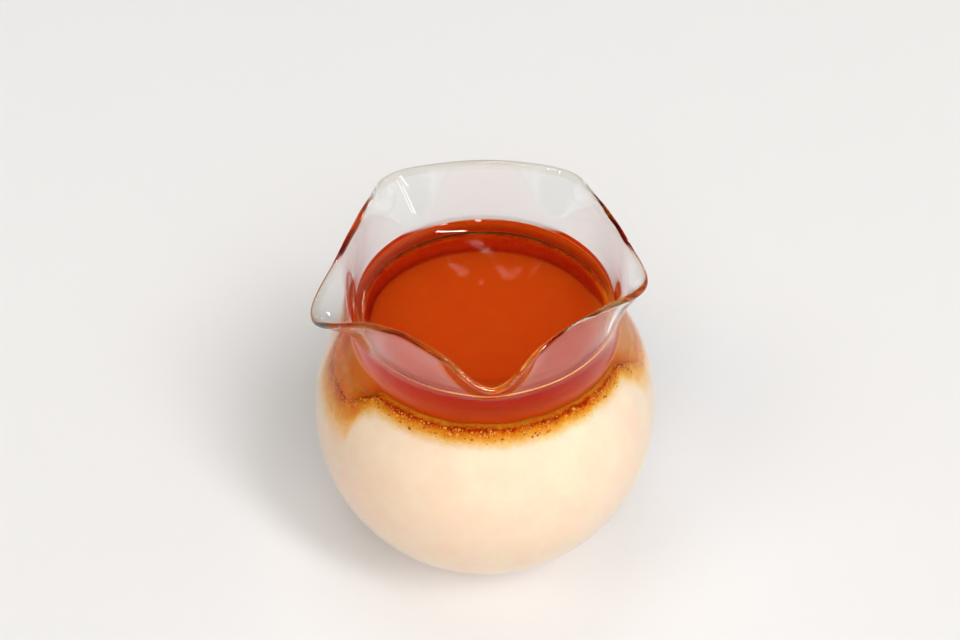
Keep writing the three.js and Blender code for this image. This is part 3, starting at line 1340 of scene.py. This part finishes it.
@dataclass(frozen=True)
class Softbox:
    """A lamp with a flat bright face, aimed at the jar. Angles in degrees, power in watts."""

    name: str
    azimuth: float
    elevation: float
    distance: float
    width: float
    height: float
    power: float
    colour: Colour = (1.0, 1.0, 1.0)
    turn: float = 0.0  # about its aim
    mirrored: bool = True  # whether it is seen in mirror reflections and through glass
    lights: bool = True  # whether it lights matt things, rather than only giving a highlight

    def place(self, target: Vector) -> None:
        """Adds the lamp.

        Args:
            target: the point that it is aimed at.
        """
        direction = bearing(self.azimuth, self.elevation)
        bpy.ops.object.light_add(type="AREA", location=target + direction * self.distance)
        lamp = bpy.context.object
        lamp.name = self.name
        aim = (-direction).to_track_quat("-Z", "Y")
        lamp.rotation_euler = (aim @ Quaternion((0.0, 0.0, 1.0), math.radians(self.turn))).to_euler()
        lamp.visible_diffuse = self.lights
        lamp.visible_glossy = self.mirrored
        lamp.visible_transmission = self.mirrored
        lamp.data.shape = "RECTANGLE"
        lamp.data.size = self.width
        lamp.data.size_y = self.height
        lamp.data.energy = self.power
        lamp.data.color = self.colour


@dataclass(frozen=True)
class Studio:
    """The pale table, the lamps, the room and the camera. Angles in degrees."""

    form: BlownForm
    table_size: float = 3.0
    room: Colour = (0.03, 0.029, 0.029)
    lit: Colour = (0.55, 0.55, 0.55)  # of the room's lit side
    lit_azimuth: float = -5.0
    lit_elevation: float = 12.0
    lit_fade: Point = (15.0, 60.0)  # angles from its middle at which it begins to fade and ends
    lens: float = 75.0
    eye: Vector = Vector((-0.97 * MM, -270.9 * MM, 310.2 * MM))
    pitch: float = 43.5  # below level
    bounces: int = 32
    glass_bounces: int = 24  # enough for light to leave the glass of the lip, which is black with fewer
    open_bounces: int = 40
    lamps: tuple[Softbox, ...] = (
        Softbox("key_softbox", -45.0, 50.0, 4.0, 0.75, 2.0, 75.0, (0.985, 0.99, 1.0), mirrored=False),
        Softbox("front_softbox", -85.0, 41.0, 5.0, 4.0, 2.2, 160.0, mirrored=False),
        Softbox("left_softbox", -145.0, 46.0, 5.0, 2.4, 2.0, 46.0, (1.0, 0.91, 0.80), mirrored=False),
        Softbox("top_softbox", 110.0, 72.0, 5.0, 3.0, 2.4, 50.0, mirrored=False),
        Softbox("corner_light", -47.0, 36.0, 3.0, 0.22, 2.0, 20.0, lights=False),
        Softbox("bar_light", -8.2, 75.4, 1.0, 0.36, 0.035, 1.8, turn=60.0, lights=False),
        Softbox("side_light", 49.7, 22.7, 1.0, 0.27, 0.03, 1.4, (1.0, 0.8, 0.6), -26.9, lights=False),
        Softbox("rim_light", -86.0, 54.1, 1.0, 0.30, 0.06, 1.5, turn=-109.3, lights=False),
    )

    def _lay_table(self) -> None:
        """Adds the table top that the jar stands on."""
        Bench.clear()
        bpy.ops.mesh.primitive_plane_add(size=self.table_size, location=ORIGIN)
        table = bpy.context.object
        table.name = "table_top"
        table.data.materials.append(Table().make())

    def _light_room(self) -> None:
        """Gives the dim room round the table its lit side."""
        mix = Mixture(bpy.data.worlds.new("room"), "World")
        way = mix.node("ShaderNodeTexCoord", {}, {}).outputs["Generated"]
        sockets = {0: way, 1: bearing(self.lit_azimuth, self.lit_elevation)}
        near = mix.signal("ShaderNodeVectorMath", {"operation": "DOT_PRODUCT"}, sockets, "Value")
        high, low = (math.cos(math.radians(angle)) for angle in self.lit_fade)
        colour = mix.blend(near.eased(low, high), self.room, self.lit)
        background = mix.node("ShaderNodeBackground", {}, {"Color": colour})
        bpy.context.scene.world = mix.finished(background.outputs[0])

    def _aim_camera(self) -> None:
        """Adds the camera, looking down on the jar from its front."""
        tilt = math.radians(90.0 - self.pitch)
        bpy.ops.object.camera_add(location=self.eye, rotation=(tilt, 0.0, 0.0))
        camera = bpy.context.object
        camera.name = "camera"
        camera.data.lens = self.lens
        bpy.context.scene.camera = camera

    def set_up(self) -> None:
        """Sets up all of it."""
        self._lay_table()
        self._light_room()
        for lamp in self.lamps:
            lamp.place(Vector((0.0, 0.0, self.form.centre)))
        self._aim_camera()
        scene = bpy.context.scene
        scene.view_settings.view_transform = "Standard"
        scene.cycles.max_bounces = self.bounces
        scene.cycles.glossy_bounces = self.glass_bounces
        scene.cycles.transmission_bounces = self.glass_bounces
        scene.cycles.transparent_max_bounces = self.open_bounces
        scene.cycles.caustics_reflective = False
        scene.cycles.caustics_refractive = False


def main() -> None:
    """Builds the jar and what is in it, and sets up the table, lamps and camera."""
    logging.basicConfig(level=logging.INFO, format="%(name)s: %(message)s")
    form = BlownForm()
    top = CustardTop(form)
    syrup = CaramelSyrup(form, top)
    line = ContactLine(form, syrup.contact)
    for maker in (Jar(form, syrup.contact), Custard(form, top), syrup, Froth(form, top), line):
        piece = maker.build()
        LOG.info("%s: %d faces", piece.name, len(piece.data.polygons))
    Studio(form).set_up()


if __name__ == "__main__":
    main()
